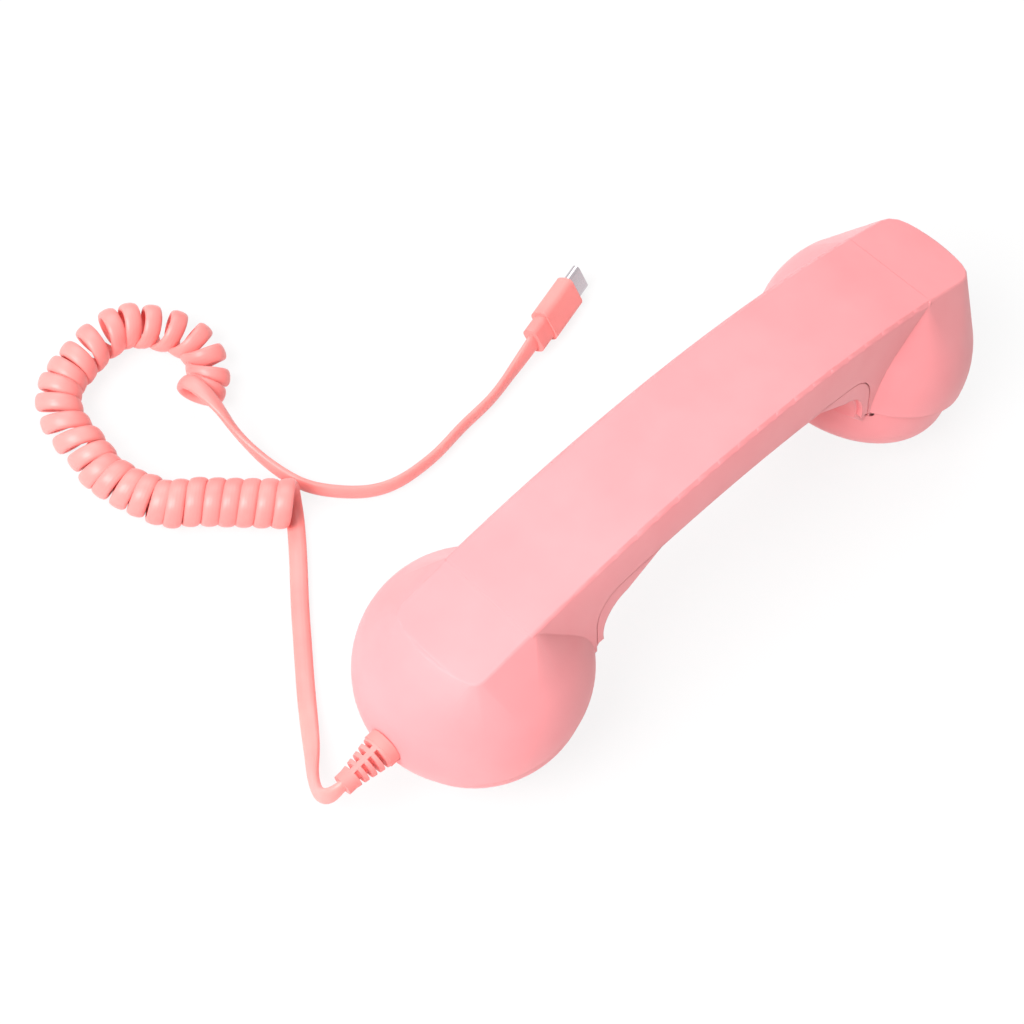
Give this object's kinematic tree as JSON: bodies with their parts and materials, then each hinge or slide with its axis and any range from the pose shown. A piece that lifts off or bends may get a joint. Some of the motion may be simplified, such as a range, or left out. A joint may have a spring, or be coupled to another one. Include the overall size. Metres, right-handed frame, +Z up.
{
  "type": "telephone_handset",
  "caption": "Pink retro telephone handset with domed cups, an arched flat-backed handle with keys inside it, a curly flat cord and a small reversible plug",
  "frame": {"origin": "under the middle of the handset without its cord, on the table it lies on, which is z = 0", "axes": "+Z up, out of the flat back; the cups rest on the table face down. +X along the handle towards the ear end; the cord leaves the mouth end at -X. -Y is the side nearer the camera in the picture"},
  "size_m": [0.239, 0.192, 0.0646],
  "materials": {
    "pink_shell": "soft-touch pink paint on moulded ABS",
    "pink_plastic": "pink moulded plastic",
    "pink_cord": "pink TPE, satin",
    "dark_plastic": "black moulded plastic",
    "steel": "zinc-plated steel",
    "plug_steel": "satin stainless steel",
    "contact_gold": "gold-plated contacts",
    "black_rubber": "black rubber",
    "diaphragm_film": "thin film",
    "board_green": "green solder mask on fibreglass",
    "wire_sheath": "thin PVC sheath"
  },
  "bodies": {
    "handset": {"rear_shell": "pink_shell", "front_shell": "pink_shell", "ear_cap": "pink_plastic", "mouth_cap": "pink_plastic", "speaker_gasket": "black_rubber", "speaker_frame": "dark_plastic", "speaker_diaphragm": "diaphragm_film", "speaker_magnet": "steel", "microphone": "steel", "microphone_boot": "black_rubber", "ear_weight": "steel", "mouth_weight": "steel", "weight_screws": "steel", "key_frame": "pink_plastic", "answer_switch": "steel", "volume_up_switch": "steel", "volume_down_switch": "steel", "switch_board": "board_green", "codec_chip": "dark_plastic", "board_screws": "steel", "case_screws": "steel", "screw_plugs": "pink_plastic", "inner_wires": "wire_sheath", "strain_relief": "pink_cord", "cord_lead": "pink_cord", "cord_coil": "pink_cord", "cord_tail": "pink_cord", "plug_collar": "pink_plastic", "plug_overmould": "pink_plastic", "plug_shell": "plug_steel", "plug_tongue": "dark_plastic", "plug_contacts": "contact_gold"},
    "answer": {"answer_key": "pink_plastic", "answer_plunger": "dark_plastic"},
    "volume_up": {"volume_up_key": "pink_plastic", "volume_up_plunger": "dark_plastic"},
    "volume_down": {"volume_down_key": "pink_plastic", "volume_down_plunger": "dark_plastic"}
  },
  "joints": [
    {"name": "answer_press", "type": "slide", "parent": "handset", "child": "answer", "axis": [0, 0, 1], "range_m": [0, 0.0004], "stiffness_N_per_m": 1500},
    {"name": "volume_up_press", "type": "slide", "parent": "handset", "child": "volume_up", "axis": [0, 0, 1], "range_m": [0, 0.0004], "stiffness_N_per_m": 1500},
    {"name": "volume_down_press", "type": "slide", "parent": "handset", "child": "volume_down", "axis": [0, 0, 1], "range_m": [0, 0.0004], "stiffness_N_per_m": 1500}
  ]
}
